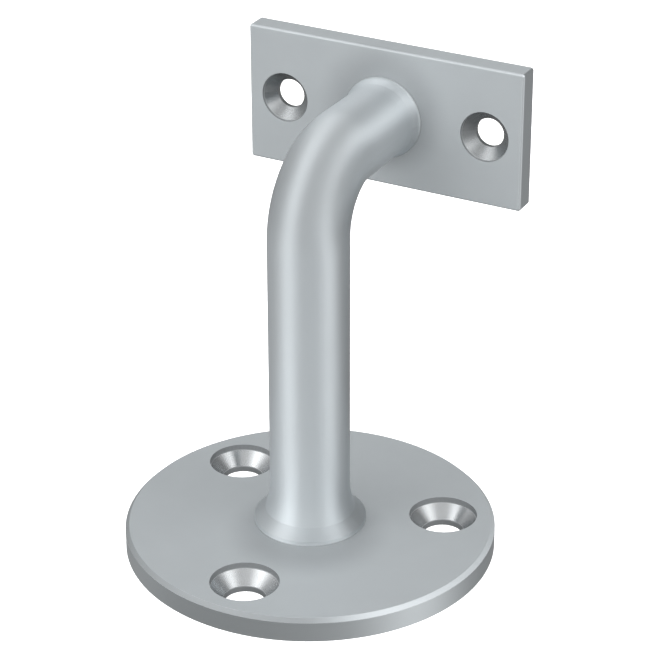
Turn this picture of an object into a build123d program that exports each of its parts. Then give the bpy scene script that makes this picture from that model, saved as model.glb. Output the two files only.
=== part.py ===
from build123d import *
import os

# One-piece cast handrail bracket. A round foot is screwed to the wall, a round arm stands out
# from it, turns through a right angle and ends in a flat plate that is screwed to the rail.
# The origin is the centre of the foot's wall face. +Z runs out from the wall along the arm,
# +Y points through the plate towards the rail, and +X lies along the plate.
# All sizes are in millimetres and all angles in degrees.

# Foot against the wall
foot_diameter = 76.2
foot_thickness = 5.1
foot_edge_bevel = 0.8
foot_wall_edge_break = 0.15

# Wall screw holes, the first one on the side away from the plate
wall_screw_count = 3
wall_screw_circle = 55.0
wall_screw_start_angle = -90.0
wall_screw_hole = 8.4
wall_screw_head = 14.0
wall_screw_head_recess = 1.2
wall_screw_head_angle = 90.0

# Arm, along its centre line and across its section
arm_diameter = 16.4
neck_diameter = 15.3
rail_centre_height = 82.5
rail_plate_reach = 32.0
bend_radius = 14.0

# Rail plate
plate_length = 61.6
plate_width = 29.4
plate_thickness = 4.8
plate_corner_round = 0.6
plate_front_edge_round = 0.5
plate_rail_edge_break = 0.3

# Rail screw holes, in a row along the plate with the arm between them
rail_screw_count = 2
rail_screw_spacing = 45.2
rail_screw_hole = 6.1
rail_screw_head = 10.6
rail_screw_head_recess = 0.4
rail_screw_head_angle = 90.0
rail_screw_exit_chamfer = 1.2

# Cast blends at the two ends of the arm. A hollow sweep widens the shank down to a crease, a
# sloping collar runs out from the crease to a rim, and a low wall drops from the rim to the
# face. Heights are measured from that face.
foot_collar_diameter = 23.0
foot_collar_height = 1.0
foot_crease_diameter = 18.5
foot_crease_height = 3.0
foot_blend_height = 9.0
plate_collar_diameter = 17.2
plate_collar_height = 0.3
plate_crease_diameter = 15.8
plate_crease_height = 2.4
plate_blend_height = 6.5

# Height at which the straight arm ends and the bend begins
bend_start_height = rail_centre_height - bend_radius

# Faces that features start from, with local +Z pointing off the metal
foot_face = Plane.XY.offset(foot_thickness)
plate_face = Plane(
    origin=(0, rail_plate_reach, rail_centre_height), x_dir=(1, 0, 0), z_dir=(0, -1, 0)
)


def cast_blend(face, shank, blend_height, crease, crease_height, collar, collar_height):
    """Adds the turned form that blends a round shank of the arm into a flat face."""
    half_section = Plane(origin=face.origin, x_dir=face.x_dir, z_dir=-face.y_dir)
    with BuildSketch(half_section) as profile:
        with BuildLine():
            wall = Line((collar / 2, 0), (collar / 2, collar_height))
            shoulder = Line(wall @ 1, (crease / 2, crease_height))
            hollow = TangentArc((shank / 2, blend_height), shoulder @ 1, tangent=(0, -1))
            Polyline(hollow @ 0, (0, blend_height), (0, 0), wall @ 0)
        make_face()
    revolve(profile.sketch, axis=Axis(face.origin, face.z_dir))


with BuildPart() as bracket:
    # Round foot, bevelled on the room side and with a slight break at the wall
    with BuildSketch(Plane.XY):
        Circle(foot_diameter / 2)
    extrude(amount=foot_thickness)
    chamfer(bracket.edges().group_by(Axis.Z)[-1], length=foot_edge_bevel)
    chamfer(bracket.edges().group_by(Axis.Z)[0], length=foot_wall_edge_break)

    # Rail plate, facing back over the foot
    with BuildSketch(plate_face):
        RectangleRounded(plate_length, plate_width, plate_corner_round)
    plate = extrude(amount=-plate_thickness)
    fillet(plate.edges().group_by(Axis.Y)[0], radius=plate_front_edge_round)
    chamfer(plate.edges().group_by(Axis.Y)[-1], length=plate_rail_edge_break)

    # Straight arm up to the bend
    with BuildSketch(foot_face):
        Circle(arm_diameter / 2)
    extrude(amount=bend_start_height - foot_thickness)

    # Bend and run to the plate, narrowing evenly from the arm to the neck
    with BuildLine(Plane.YZ) as centre_line:
        turn = RadiusArc((0, bend_start_height), (bend_radius, rail_centre_height), bend_radius)
        Line(turn @ 1, (rail_plate_reach, rail_centre_height))
    with BuildSketch(Plane.XY.offset(bend_start_height)):
        Circle(arm_diameter / 2)
    with BuildSketch(plate_face):
        Circle(neck_diameter / 2)
    sweep(path=centre_line.line, multisection=True)

    # Blends at the foot and at the plate
    cast_blend(
        foot_face,
        shank=arm_diameter,
        blend_height=foot_blend_height,
        crease=foot_crease_diameter,
        crease_height=foot_crease_height,
        collar=foot_collar_diameter,
        collar_height=foot_collar_height,
    )
    cast_blend(
        plate_face,
        shank=neck_diameter,
        blend_height=plate_blend_height,
        crease=plate_crease_diameter,
        crease_height=plate_crease_height,
        collar=plate_collar_diameter,
        collar_height=plate_collar_height,
    )

    # Wall screw holes, each head seat sunk below the room side of the foot
    with Locations(foot_face.offset(-wall_screw_head_recess)):
        with PolarLocations(wall_screw_circle / 2, wall_screw_count, wall_screw_start_angle):
            CounterSinkHole(
                radius=wall_screw_hole / 2,
                counter_sink_radius=wall_screw_head / 2,
                depth=foot_thickness,
                counter_sink_angle=wall_screw_head_angle,
            )

    # Rail screw holes, eased where they leave the plate on the rail side
    with Locations(plate_face.offset(-rail_screw_head_recess)):
        with GridLocations(rail_screw_spacing, 0, rail_screw_count, 1):
            CounterSinkHole(
                radius=rail_screw_hole / 2,
                counter_sink_radius=rail_screw_head / 2,
                depth=plate_thickness,
                counter_sink_angle=rail_screw_head_angle,
            )
    rail_side = bracket.faces().sort_by(Axis.Y)[-1]
    chamfer(rail_side.inner_wires().edges(), length=rail_screw_exit_chamfer)

bracket.part.label = "handrail_bracket"
os.makedirs("parts", exist_ok=True)
export_step(bracket.part, "parts/handrail_bracket.step")
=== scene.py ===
import math

import bpy
from bpy.props import FloatProperty, FloatVectorProperty, PointerProperty
from bpy.types import Operator, Panel, PropertyGroup
from mathutils import Euler, Matrix, Vector


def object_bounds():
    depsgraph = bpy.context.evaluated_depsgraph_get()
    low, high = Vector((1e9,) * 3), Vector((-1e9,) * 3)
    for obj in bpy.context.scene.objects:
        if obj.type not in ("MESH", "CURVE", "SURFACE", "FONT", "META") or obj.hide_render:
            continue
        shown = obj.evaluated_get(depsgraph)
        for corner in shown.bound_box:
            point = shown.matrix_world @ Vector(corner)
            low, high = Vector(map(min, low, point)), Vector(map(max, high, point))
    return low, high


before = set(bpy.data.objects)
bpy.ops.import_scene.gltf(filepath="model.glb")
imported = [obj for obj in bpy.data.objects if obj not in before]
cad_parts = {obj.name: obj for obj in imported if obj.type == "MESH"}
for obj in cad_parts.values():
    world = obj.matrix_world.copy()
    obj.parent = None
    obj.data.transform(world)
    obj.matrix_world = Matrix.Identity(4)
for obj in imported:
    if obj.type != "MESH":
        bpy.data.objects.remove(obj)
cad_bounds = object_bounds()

bl_info = {
    "name": "Handrail Bracket",
    "version": (1, 0, 0),
    "blender": (4, 5, 0),
    "location": "View3D > Sidebar > Bracket",
    "description": "Finishes a one-piece cast handrail bracket and sets it in a pale studio",
    "category": "Object",
}

CASTING = "handrail_bracket"

# Places on the casting, in metres, in the frame's own axes
FOOT_RADIUS = 0.0381
FOOT_THICKNESS = 0.0051
WALL_SCREW_RADIUS = 0.0275
WALL_SCREW_ANGLES = (-90.0, 30.0, 150.0)
WALL_SEAT_RADIUS = 0.0070
WALL_HOLE_RADIUS = 0.0042
RAIL_CENTRE_HEIGHT = 0.0825
RAIL_PLATE_REACH = 0.0320
BEND_RADIUS = 0.0140
PLATE_LENGTH = 0.0616
RAIL_SCREW_OFFSET = 0.0226
RAIL_SEAT_RADIUS = 0.0053

# Where one finish passes into the next. In each pair its share is 0 at the first place, 1 at the second.
ARM_START = (FOOT_THICKNESS, FOOT_THICKNESS + 0.0004)
ARM_END = (RAIL_PLATE_REACH, RAIL_PLATE_REACH - 0.0010)
PLATE_ENDS = (PLATE_LENGTH / 2 - 0.0006, PLATE_LENGTH / 2 - 0.0002)
PLATE_FRONT = (RAIL_PLATE_REACH - 0.0002, RAIL_PLATE_REACH + 0.0002)
FOOT_SIDE = (FOOT_RADIUS - 0.0004, FOOT_RADIUS - 0.0001)
FOOT_SIDE_TOP = (FOOT_THICKNESS - 0.0008, FOOT_THICKNESS - 0.0009)
BEVEL_RADIUS = (FOOT_RADIUS - 0.0009, FOOT_RADIUS - 0.0007)
BEVEL_BOTTOM = (FOOT_THICKNESS - 0.0009, FOOT_THICKNESS - 0.0008)
BEVEL_TOP = (FOOT_THICKNESS + 0.0008, FOOT_THICKNESS + 0.0004)
BELOW_FOOT_FACE = (FOOT_THICKNESS, FOOT_THICKNESS - 0.0001)
BEHIND_PLATE_FACE = (RAIL_PLATE_REACH, RAIL_PLATE_REACH + 0.0001)

# Painted shade round the two collars, which darkens the faces where the arm would shade them: its reach,
# and the faces that it keeps to
FOOT_PAINTED_SHADE = (0.0185, 0.0090)
FOOT_PAINTED_SHADE_TOP = (FOOT_THICKNESS + 0.0004, FOOT_THICKNESS + 0.0001)
FOOT_PAINTED_SHADE_BOTTOM = (FOOT_THICKNESS - 0.0012, FOOT_THICKNESS - 0.0008)
PLATE_PAINTED_SHADE = (0.0155, 0.0080)
PLATE_PAINTED_SHADE_FRONT = (RAIL_PLATE_REACH - 0.0004, RAIL_PLATE_REACH - 0.0001)
PLATE_PAINTED_SHADE_BACK = (RAIL_PLATE_REACH + 0.0012, RAIL_PLATE_REACH + 0.0008)

# How far the foot's painted shade lies off the arm, towards the front like a cast shadow, and the plate's
# above the arm
FOOT_PAINTED_SHADE_SHIFT = (0.0023, -0.0056)
PLATE_PAINTED_SHADE_RISE = 0.002

# The way across the foot in which its bevel turns from painted shade to painted highlight, and where along
# it
BEVEL_WAY = (0.88, 0.47)
BEVEL_SHADE_TURN = (0.0160, -0.0020)

# How far a screw seat's finish runs out past its rim, and where inside a rim it starts and is full
SEAT_OVERRUN = 0.00015
SEAT_FADE_START = 0.00005
SEAT_FADE_END = 0.0002

# Colours that the skin is given in places, and how far it goes towards them; the collar and hole-wall ones
# are painted shade, the bevel ones painted shade and painted highlight
# Painted shade round the collars
COLLAR_PAINTED_SHADE_COLOUR = (0.08, 0.087, 0.09)
COLLAR_PAINTED_SHADE_SHARE = 0.36
# Painted shade on the left half of the foot's bevel, and a painted highlight on its right half
BEVEL_PAINTED_SHADE_COLOUR = (0.10, 0.107, 0.11)
BEVEL_PAINTED_SHADE_SHARE = 0.66
BEVEL_PAINTED_HIGHLIGHT_COLOUR = (0.60, 0.64, 0.66)
BEVEL_PAINTED_HIGHLIGHT_SHARE = 0.30
CLOUD_COLOUR = (0.5, 0.53, 0.55)
CLOUD_SHARE = 0.12
SIDE_COLOUR = (0.62, 0.66, 0.68)
# Painted shade in the straight walls of the screw holes
HOLE_WALL_PAINTED_SHADE_COLOUR = (0.13, 0.138, 0.142)

# How metallic the matt faces look, and how widely the sides spread a reflection
FACE_METALLIC = 0.30
SIDE_ROUGHNESS = 0.34

# Unevenness of the skin: waves to a metre, depth in metres, play in the roughness, and how much of
# the grain the cutter takes off a seat
CLOUD_SCALE = 120.0
CLOUD_ROUGHNESS = 0.06
GRAIN_ROUGHNESS = 0.04
WAVE_SCALE = 60.0
WAVE_DEPTH = 0.00001
SEAT_SMOOTHNESS = 0.7

# How steep the scratches in a screw seat are, as a share of those round the arm
SEAT_SCRATCH_SHARE = 0.3

# Slopes that stand for the whole spread of scratches, as shares of the steepest. The level one comes last,
# so that a bake which keeps only the last one's normals keeps level ones.
SCRATCH_SLOPES = (-0.86, 0.86, -0.57, 0.57, -0.29, 0.29, 0.0)

# Too short to see, but it keeps the arm's direction from being worked out from nothing
TINY = 0.00001

# Soft boxes round the casting: azimuth from +X and elevation in degrees, tightness, strength
SOFT_BOXES = (
    (-117.0, 25.0, 16.0, 3.50),
    (-138.0, 28.0, 16.0, 1.25),
    (-124.0, 53.0, 20.0, 0.90),
    (-154.0, 25.0, 12.0, 0.45),
    (-3.0, 34.0, 16.0, 3.40),
    (5.0, -27.0, 8.0, 0.74),
    (178.0, 5.0, 8.0, 0.50),
    (118.0, 58.0, 10.0, 0.12),
    (-62.0, 25.0, 8.0, 1.45),
)
DOME_STRENGTH = 0.27

# The fill light, in metres and degrees
FILL_WIDTH = 1.2
FILL_DISTANCE = 2.0
FILL_ELEVATION = 50.0

# How far the floor lies under the casting, in metres, and how strongly it glows
FLOOR_DROP = 0.0001
FLOOR_GLOW = 0.42

# Places of the colour sockets on a Mix node, which has sockets of one name for each kind of data
MIX_INPUTS = (0, 6, 7)
MIX_OUTPUT = 2


class Value:
    """A node socket that takes part in Python sums, each of which adds its Math node."""

    def __init__(self, graph, socket):
        self.graph = graph
        self.socket = socket

    def _math(self, operation, *terms):
        node = self.graph.node("ShaderNodeMath", {"operation": operation}, dict(enumerate(terms)))
        return node["Value"]

    def __add__(self, other):
        return self._math("ADD", self, other)

    def __radd__(self, other):
        return self._math("ADD", other, self)

    def __sub__(self, other):
        return self._math("SUBTRACT", self, other)

    def __rsub__(self, other):
        return self._math("SUBTRACT", other, self)

    def __mul__(self, other):
        return self._math("MULTIPLY", self, other)

    def __rmul__(self, other):
        return self._math("MULTIPLY", other, self)

    def __truediv__(self, other):
        return self._math("DIVIDE", self, other)

    def __rtruediv__(self, other):
        return self._math("DIVIDE", other, self)

    def __abs__(self):
        return self._math("ABSOLUTE", self)

    def root(self):
        return self._math("SQRT", self)

    def exp(self):
        return self._math("EXPONENT", self)

    def sine(self):
        return self._math("SINE", self)

    def cosine(self):
        return self._math("COSINE", self)

    def angle(self, other):
        """The angle whose tangent is this value over the other."""
        return self._math("ARCTAN2", self, other)

    def at_least(self, other):
        return self._math("MAXIMUM", self, other)

    def rise(self, start, end):
        """Goes smoothly from 0 at start to 1 at end, or the other way where end is the smaller."""
        node = self.graph.node(
            "ShaderNodeMapRange",
            {"interpolation_type": "SMOOTHSTEP"},
            {
                "Value": self,
                "From Min": min(start, end),
                "From Max": max(start, end),
                "To Min": 0.0 if start < end else 1.0,
                "To Max": 1.0 if start < end else 0.0,
            },
        )
        return node["Result"]


class Node:
    """A node whose outputs are read by name or by place."""

    def __init__(self, graph, made):
        self.graph = graph
        self.made = made

    def __getitem__(self, name):
        return Value(self.graph, self.made.outputs[name])


class Graph:
    """The node tree of one material or of the world, emptied for a fresh start."""

    def __init__(self, owner):
        owner.use_nodes = True
        self.tree = owner.node_tree
        self.tree.nodes.clear()

    def node(self, kind, settings=None, inputs=None):
        """Adds a node: its settings first, then the values and links of its sockets."""
        made = self.tree.nodes.new(kind)
        for name, value in (settings or {}).items():
            setattr(made, name, value)
        for name, value in (inputs or {}).items():
            socket = made.inputs[name]
            if isinstance(value, Value):
                self.tree.links.new(value.socket, socket)
            else:
                socket.default_value = value
        return Node(self, made)

    def vector(self, operation, first, second=None):
        """Adds a Vector Math node; for SCALE the second term is a number."""
        terms = {0: first}
        if second is not None:
            terms["Scale" if operation == "SCALE" else 1] = second
        return self.node("ShaderNodeVectorMath", {"operation": operation}, terms)["Vector"]

    def way(self, x, y, z):
        """Puts three numbers together to a direction."""
        return self.node("ShaderNodeCombineXYZ", {}, {"X": x, "Y": y, "Z": z})["Vector"]

    def noise(self, point, scale, detail, roughness=0.5):
        """Adds a noise texture with so many waves to a metre."""
        inputs = {"Vector": point, "Scale": scale, "Detail": detail, "Roughness": roughness}
        return self.node("ShaderNodeTexNoise", {}, inputs)["Fac"]

    def blend(self, amount, first, second):
        """Mixes two colours, from the first at 0 to the second at 1."""
        colours = [colour if isinstance(colour, Value) else (*colour, 1.0) for colour in (first, second)]
        inputs = dict(zip(MIX_INPUTS, (amount, *colours)))
        return self.node("ShaderNodeMix", {"data_type": "RGBA"}, inputs)[MIX_OUTPUT]


class Spot:
    """The spot that is being shaded: its place, and how far it is from the arm's axis."""

    def __init__(self, graph):
        self.point = graph.node("ShaderNodeTexCoord")["Object"]
        axes = graph.node("ShaderNodeSeparateXYZ", {}, {"Vector": self.point})
        self.x, self.y, self.z = axes["X"], axes["Y"], axes["Z"]
        self.radius = distance(self.x, self.y)


class BracketFinish(PropertyGroup):
    arm_colour: FloatVectorProperty(
        name="Arm colour", description="Base colour of the tumbled round arm",
        subtype="COLOR", size=3, min=0.0, max=1.0, default=(0.67, 0.715, 0.74))
    face_colour: FloatVectorProperty(
        name="Face colour", description="Base colour of the flat faces of foot and plate",
        subtype="COLOR", size=3, min=0.0, max=1.0, default=(0.295, 0.316, 0.328))
    seat_colour: FloatVectorProperty(
        name="Seat colour", description="Base colour of the machined seats of the wall screws",
        subtype="COLOR", size=3, min=0.0, max=1.0, default=(0.50, 0.515, 0.525))
    # The rail seats take a darker copy of the machined seat colour, as painted shade
    rail_seat_shaded_colour: FloatVectorProperty(
        name="Rail seat colour", description="Base colour of the machined seats of the rail screws",
        subtype="COLOR", size=3, min=0.0, max=1.0, default=(0.31, 0.322, 0.328))
    arm_roughness: FloatProperty(
        name="Arm roughness", description="How widely the round arm spreads a reflection",
        subtype="FACTOR", min=0.0, max=1.0, default=0.36)
    face_roughness: FloatProperty(
        name="Face roughness", description="How widely the flat faces spread a reflection",
        subtype="FACTOR", min=0.0, max=1.0, default=0.50)
    seat_roughness: FloatProperty(
        name="Seat roughness", description="How widely the machined seats spread a reflection",
        subtype="FACTOR", min=0.0, max=1.0, default=0.26)
    scratch_tilt: FloatProperty(
        name="Scratch tilt", description="Steepest slope of the fine scratches round the arm",
        subtype="ANGLE", unit="ROTATION", min=0.0, max=math.radians(85.0), default=math.radians(62.0))
    grain_size: FloatProperty(
        name="Grain size", description="Width of the fine grain that tumbling leaves",
        unit="LENGTH", subtype="DISTANCE", min=0.00005, max=0.002, default=0.0003)
    grain_depth: FloatProperty(
        name="Grain depth", description="Depth of the fine grain",
        unit="LENGTH", subtype="DISTANCE", min=0.0, max=0.0001, default=0.000004)


class BracketStage(PropertyGroup):
    camera_position: FloatVectorProperty(
        name="Camera position", description="Where the camera stands",
        subtype="TRANSLATION", unit="LENGTH", size=3, default=(0.21836, -0.40306, 0.28476))
    camera_azimuth: FloatProperty(
        name="Camera azimuth", description="Turn of the camera about the vertical",
        subtype="ANGLE", unit="ROTATION", default=math.radians(27.925))
    camera_dip: FloatProperty(
        name="Camera dip", description="Angle by which the camera looks down",
        subtype="ANGLE", unit="ROTATION", default=math.radians(27.261))
    camera_roll: FloatProperty(
        name="Camera roll", description="Tilt of the camera about its own line of sight",
        subtype="ANGLE", unit="ROTATION", default=math.radians(-0.138))
    lens: FloatProperty(
        name="Lens", description="Focal length in millimetres on a 36 mm sensor",
        subtype="DISTANCE_CAMERA", unit="CAMERA", min=1.0, default=141.48)
    fill_power: FloatProperty(
        name="Fill power", description="Strength of the broad fill light",
        subtype="POWER", unit="POWER", min=0.0, default=47.5)
    floor_colour: FloatVectorProperty(
        name="Floor colour", description="Colour of the plain floor",
        subtype="COLOR", size=3, min=0.0, max=1.0, default=(0.93, 0.93, 0.93))
    floor_size: FloatProperty(
        name="Floor size", description="Width of the floor",
        unit="LENGTH", subtype="DISTANCE", min=1.0, default=12.0)


def distance(across, along):
    """How far a spot is from an axis, from its two distances square to each other."""
    return (across * across + along * along).root()


def towards(azimuth, elevation):
    """The direction at an azimuth from +X and an elevation, both in radians."""
    level = math.cos(elevation)
    return Vector((level * math.cos(azimuth), level * math.sin(azimuth), math.sin(elevation)))


def arm_share(spot):
    """The round arm, which begins above the foot and ends short of the plate."""
    return spot.z.rise(*ARM_START) * spot.y.rise(*ARM_END)


def arm_way(graph, spot):
    """The direction along the arm: up from the foot, round the bend and on to the plate."""
    climb = (spot.z - (RAIL_CENTRE_HEIGHT - BEND_RADIUS)).at_least(0.0)
    turned = climb.angle((BEND_RADIUS - spot.y).at_least(0.0) + TINY)
    return graph.way(0.0, turned.sine(), turned.cosine())


def side_share(spot):
    """The two ends of the plate and the turned side of the foot."""
    plate_ends = abs(spot.x).rise(*PLATE_ENDS) * spot.y.rise(*PLATE_FRONT)
    foot_side = spot.radius.rise(*FOOT_SIDE) * spot.z.rise(*FOOT_SIDE_TOP)
    return plate_ends.at_least(foot_side)


def painted_collar_shade(spot):
    """Painted shade round the two collars: on the foot's top face, set off towards the front like a cast
    shadow, and on the plate's front face.
    """
    foot_reach = distance(spot.x - FOOT_PAINTED_SHADE_SHIFT[0], spot.y - FOOT_PAINTED_SHADE_SHIFT[1])
    foot_shade = foot_reach.rise(*FOOT_PAINTED_SHADE) * spot.z.rise(*FOOT_PAINTED_SHADE_TOP)
    foot_shade = foot_shade * spot.z.rise(*FOOT_PAINTED_SHADE_BOTTOM)
    plate_reach = distance(spot.x, spot.z - (RAIL_CENTRE_HEIGHT + PLATE_PAINTED_SHADE_RISE))
    plate_shade = plate_reach.rise(*PLATE_PAINTED_SHADE) * spot.y.rise(*PLATE_PAINTED_SHADE_FRONT)
    plate_shade = plate_shade * spot.y.rise(*PLATE_PAINTED_SHADE_BACK)
    return foot_shade.at_least(plate_shade)


def face_skin(graph, finish, spot):
    """Colour of the matt faces, with painted shade round the collars and on the left half of the foot's
    bevel, and a painted highlight on the bevel's right half.
    """
    # Painted shade round the collars darkens the face colour
    skin = graph.blend(painted_collar_shade(spot) * COLLAR_PAINTED_SHADE_SHARE, tuple(finish.face_colour), COLLAR_PAINTED_SHADE_COLOUR)
    bevel = spot.radius.rise(*BEVEL_RADIUS) * spot.z.rise(*BEVEL_BOTTOM) * spot.z.rise(*BEVEL_TOP)
    # The foot's bevel: painted shade on its left half, a painted highlight on its right half
    shaded_half = (spot.x * BEVEL_WAY[0] + spot.y * BEVEL_WAY[1]).rise(*BEVEL_SHADE_TURN)
    skin = graph.blend(bevel * shaded_half * BEVEL_PAINTED_SHADE_SHARE, skin, BEVEL_PAINTED_SHADE_COLOUR)
    return graph.blend(bevel * (1.0 - shaded_half) * BEVEL_PAINTED_HIGHLIGHT_SHARE, skin, BEVEL_PAINTED_HIGHLIGHT_COLOUR)


def seat_shares(reach, below_face, seat_radius, hole_radius):
    """The cone under a screw's head, and the straight walls above and below it."""
    inside = reach.rise(seat_radius + SEAT_OVERRUN, seat_radius - SEAT_FADE_START) * below_face
    cone = inside * reach.rise(seat_radius - SEAT_FADE_START, seat_radius - SEAT_FADE_END)
    cone = cone * reach.rise(hole_radius + SEAT_FADE_START, hole_radius + SEAT_FADE_END)
    return cone, inside - cone


def screw_seats(graph, finish, spot):
    """Gives for each screw hole its cone, its walls, the cone's colour and the way the cone falls."""
    below_face = spot.z.rise(*BELOW_FOOT_FACE)
    for turn in map(math.radians, WALL_SCREW_ANGLES):
        across = spot.x - WALL_SCREW_RADIUS * math.cos(turn)
        along = spot.y - WALL_SCREW_RADIUS * math.sin(turn)
        reach = distance(across, along)
        cone, walls = seat_shares(reach, below_face, WALL_SEAT_RADIUS, WALL_HOLE_RADIUS)
        yield cone, walls, finish.seat_colour, graph.way(across / reach, along / reach, 1.0)

    below_face = spot.y.rise(*BEHIND_PLATE_FACE)
    for side in (-1, 1):
        across = spot.x - side * RAIL_SCREW_OFFSET
        along = spot.z - RAIL_CENTRE_HEIGHT
        reach = distance(across, along)
        cone, walls = seat_shares(reach, below_face, RAIL_SEAT_RADIUS, 0.0)
        # The rail seats' darker colour is painted shade
        yield cone, walls, finish.rail_seat_shaded_colour, graph.way(across / reach, -1.0, along / reach)


def scratched_metal(graph, looks, normal, scratch_way, steepest):
    """An even mix of the same metal at several slopes across its scratches, which are too fine to see."""
    surface = None
    for count, share in enumerate(SCRATCH_SLOPES, 1):
        tilt = steepest * share
        level = graph.vector("SCALE", normal, tilt.cosine())
        slope = graph.vector("SCALE", scratch_way, tilt.sine())
        tilted = graph.vector("NORMALIZE", graph.vector("ADD", level, slope))
        shader = graph.node("ShaderNodeBsdfPrincipled", {}, {**looks, "Normal": tilted})["BSDF"]
        if surface is not None:
            shader = graph.node("ShaderNodeMixShader", {}, {0: 1 / count, 1: surface, 2: shader})["Shader"]
        surface = shader
    return surface


def casting_metal(finish):
    """Satin cast metal: a tumbled round arm, matt flat faces and machined screw seats."""
    metal = bpy.data.materials.new("satin_metal")
    graph = Graph(metal)
    spot = Spot(graph)
    arm = arm_share(spot)
    sides = side_share(spot)
    skin = graph.blend(arm, face_skin(graph, finish, spot), tuple(finish.arm_colour))
    skin = graph.blend(sides, skin, SIDE_COLOUR)
    scratch_way = graph.vector("SCALE", arm_way(graph, spot), arm)
    cones = []
    for cone, walls, seat_colour, fall in screw_seats(graph, finish, spot):
        skin = graph.blend(cone, skin, tuple(seat_colour))
        # Painted shade: the straight walls of each hole are coloured dark
        skin = graph.blend(walls, skin, HOLE_WALL_PAINTED_SHADE_COLOUR)
        # A cone falls at 45 degrees, so its way is as long as the square root of 2
        downhill = graph.vector("SCALE", fall, cone * math.sqrt(0.5))
        scratch_way = graph.vector("ADD", scratch_way, downhill)
        cones.append(cone)
    seats = sum(cones)

    # Fine grain, broader clouding of the tumbled skin, and slight waviness of the casting
    grain = graph.noise(spot.point, 1.0 / finish.grain_size, 3.0, 0.6)
    cloud = graph.noise(spot.point, CLOUD_SCALE, 4.0, 0.55)
    wave = graph.noise(spot.point, WAVE_SCALE, 1.0)

    colour = graph.blend(cloud * CLOUD_SHARE, skin, CLOUD_COLOUR)
    roughness = finish.face_roughness + (finish.arm_roughness - finish.face_roughness) * arm
    roughness = roughness + sides * (SIDE_ROUGHNESS - roughness)
    roughness = roughness + seats * (finish.seat_roughness - roughness)
    roughness = roughness + (cloud - 0.5) * CLOUD_ROUGHNESS + (grain - 0.5) * GRAIN_ROUGHNESS
    metallic = FACE_METALLIC + (1.0 - FACE_METALLIC) * arm.at_least(sides).at_least(seats)

    relief = grain * finish.grain_depth * (1.0 - seats * SEAT_SMOOTHNESS) + wave * WAVE_DEPTH
    bump = graph.node("ShaderNodeBump", {}, {"Strength": 1.0, "Distance": 1.0, "Height": relief})
    looks = {"Base Color": colour, "Metallic": metallic, "Roughness": roughness}
    steepest = (arm + seats * SEAT_SCRATCH_SHARE) * finish.scratch_tilt
    surface = scratched_metal(graph, looks, bump["Normal"], scratch_way, steepest)
    graph.node("ShaderNodeOutputMaterial", {}, {"Surface": surface})
    return metal


class BRACKET_OT_finish(Operator):
    """Gives the casting its satin metal finish"""

    bl_idname = "bracket.finish"
    bl_label = "Finish Casting"

    def execute(self, context):
        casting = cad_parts[CASTING]
        metal = casting_metal(context.scene.bracket_finish)
        casting.data.materials.clear()
        casting.data.materials.append(metal)
        return {"FINISHED"}


def studio_light():
    """Soft light from all round, as a dome with broad soft boxes that fade at their edges."""
    world = bpy.data.worlds.new("studio")
    graph = Graph(world)
    way = graph.node("ShaderNodeTexCoord")["Generated"]
    light = DOME_STRENGTH
    for azimuth, elevation, tightness, strength in SOFT_BOXES:
        box_way = towards(math.radians(azimuth), math.radians(elevation))
        both = {0: way, 1: box_way}
        facing = graph.node("ShaderNodeVectorMath", {"operation": "DOT_PRODUCT"}, both)["Value"]
        light = ((facing - 1.0) * tightness).exp() * strength + light
    grey = graph.node("ShaderNodeCombineColor", {}, {"Red": light, "Green": light, "Blue": light})["Color"]
    background = graph.node("ShaderNodeBackground", {}, {"Color": grey, "Strength": 1.0})
    graph.node("ShaderNodeOutputWorld", {}, {"Surface": background["Background"]})
    return world


def pale_floor(stage):
    """A plain floor that the camera sees and that stays out of the metal's reflections."""
    half = stage.floor_size / 2
    corners = [(-half, -half, 0), (half, -half, 0), (half, half, 0), (-half, half, 0)]
    mesh = bpy.data.meshes.new("floor")
    mesh.from_pydata(corners, [], [(0, 1, 2, 3)])
    floor = bpy.data.objects.new("floor", mesh)
    bpy.context.scene.collection.objects.link(floor)
    floor.location.z = cad_bounds[0][2] - FLOOR_DROP
    floor.visible_glossy = False
    floor.visible_diffuse = False
    floor.visible_shadow = False
    paint = bpy.data.materials.new("pale_floor")
    graph = Graph(paint)
    shader = graph.node("ShaderNodeBsdfPrincipled", {}, {
        "Base Color": (*stage.floor_colour, 1.0),
        "Roughness": 0.9,
        "Specular IOR Level": 0.0,
        "Emission Color": (1.0, 1.0, 1.0, 1.0),
        "Emission Strength": FLOOR_GLOW,
    })
    graph.node("ShaderNodeOutputMaterial", {}, {"Surface": shader["BSDF"]})
    mesh.materials.append(paint)


def fill_light(stage):
    """A broad light from above the camera that lifts the matt faces and leaves no reflection."""
    lamp = bpy.data.lights.new("fill", "AREA")
    lamp.energy = stage.fill_power
    lamp.size = FILL_WIDTH
    lamp.use_shadow = False
    lamp_way = towards(stage.camera_azimuth - math.pi / 2, math.radians(FILL_ELEVATION))
    fill = bpy.data.objects.new("fill", lamp)
    bpy.context.scene.collection.objects.link(fill)
    fill.location = lamp_way * FILL_DISTANCE
    fill.rotation_euler = lamp_way.to_track_quat("Z", "Y").to_euler()
    fill.visible_glossy = False


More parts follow.
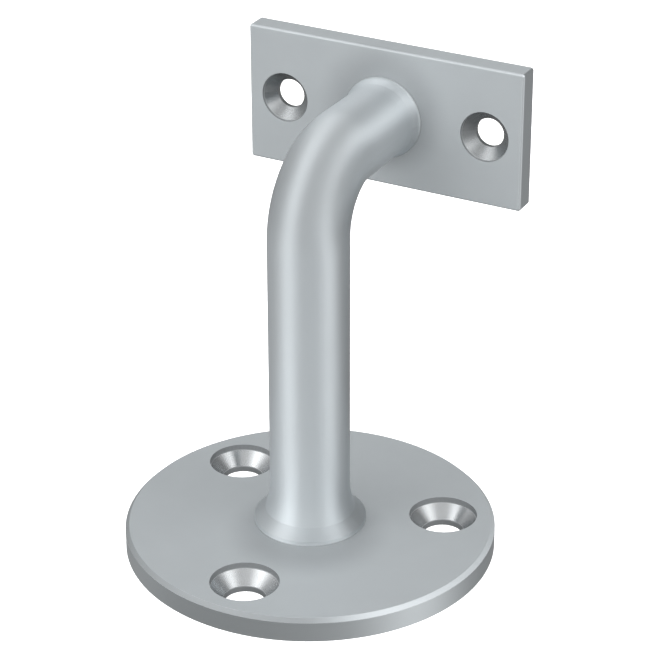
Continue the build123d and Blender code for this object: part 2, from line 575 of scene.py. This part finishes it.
def photo_camera(stage):
    """The camera, turned, tipped down and rolled about its line of sight."""
    lens = bpy.data.cameras.new("camera")
    lens.sensor_width = 36.0
    lens.lens = stage.lens
    lens.clip_start = 0.01
    camera = bpy.data.objects.new("camera", lens)
    bpy.context.scene.collection.objects.link(camera)
    place = Matrix.Translation(Vector(stage.camera_position))
    gaze = Euler((math.pi / 2 - stage.camera_dip, 0.0, stage.camera_azimuth)).to_matrix().to_4x4()
    camera.matrix_world = place @ gaze @ Matrix.Rotation(stage.camera_roll, 4, "Z")
    return camera


class BRACKET_OT_stage(Operator):
    """Sets the casting on a pale floor under soft light, with the camera in front of it"""

    bl_idname = "bracket.stage"
    bl_label = "Build Stage"

    def execute(self, context):
        scene = context.scene
        pale_floor(scene.bracket_stage)
        fill_light(scene.bracket_stage)
        scene.world = studio_light()
        scene.camera = photo_camera(scene.bracket_stage)
        scene.view_settings.view_transform = "Standard"
        return {"FINISHED"}


class BRACKET_PT_panel(Panel):
    """Lists the bracket's finish and stage"""

    bl_idname = "BRACKET_PT_panel"
    bl_label = "Handrail Bracket"
    bl_space_type = "VIEW_3D"
    bl_region_type = "UI"
    bl_category = "Bracket"

    def draw(self, context):
        layout = self.layout
        for group, operator in (
            (context.scene.bracket_finish, BRACKET_OT_finish),
            (context.scene.bracket_stage, BRACKET_OT_stage),
        ):
            box = layout.box()
            for name in group.__annotations__:
                box.prop(group, name)
            box.operator(operator.bl_idname)


CLASSES = (BracketFinish, BracketStage, BRACKET_OT_finish, BRACKET_OT_stage, BRACKET_PT_panel)


def register():
    for entry in CLASSES:
        bpy.utils.register_class(entry)
    bpy.types.Scene.bracket_finish = PointerProperty(type=BracketFinish)
    bpy.types.Scene.bracket_stage = PointerProperty(type=BracketStage)


def unregister():
    del bpy.types.Scene.bracket_stage
    del bpy.types.Scene.bracket_finish
    for entry in reversed(CLASSES):
        bpy.utils.unregister_class(entry)


def main():
    register()
    bpy.ops.bracket.finish()
    bpy.ops.bracket.stage()


if __name__ == "__main__":
    main()
